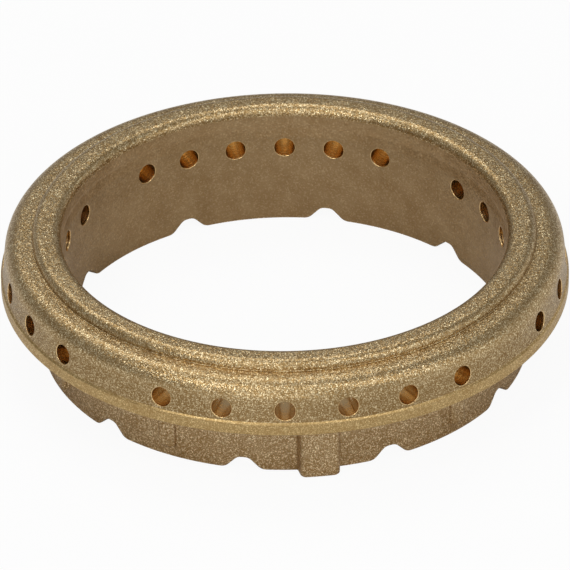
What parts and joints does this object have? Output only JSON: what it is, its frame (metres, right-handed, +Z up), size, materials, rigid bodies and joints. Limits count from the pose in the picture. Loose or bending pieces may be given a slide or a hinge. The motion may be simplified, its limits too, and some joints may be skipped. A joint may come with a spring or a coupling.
{
  "type": "gas burner crown",
  "caption": "Brass burner ring with rounded shoulder, grouped drilled flame ports, stepped top land, turned lip and a notched, ribbed skirt with a locating lug.",
  "frame": {"origin": "centre of the crown at the bottom of its skirt", "axes": "+Z up the axis of the ring, from the skirt to the top land; -Y through the lug; +X completes the right-handed frame"},
  "size_m": [0.1, 0.1, 0.0232],
  "materials": {
    "blasted_brass": "shot-blasted casting, matt with a fine sparkle, with a smoother turned lip and bright drilled ports"
  },
  "bodies": {
    "root": {"burner_crown": "blasted_brass"}
  },
  "joints": []
}
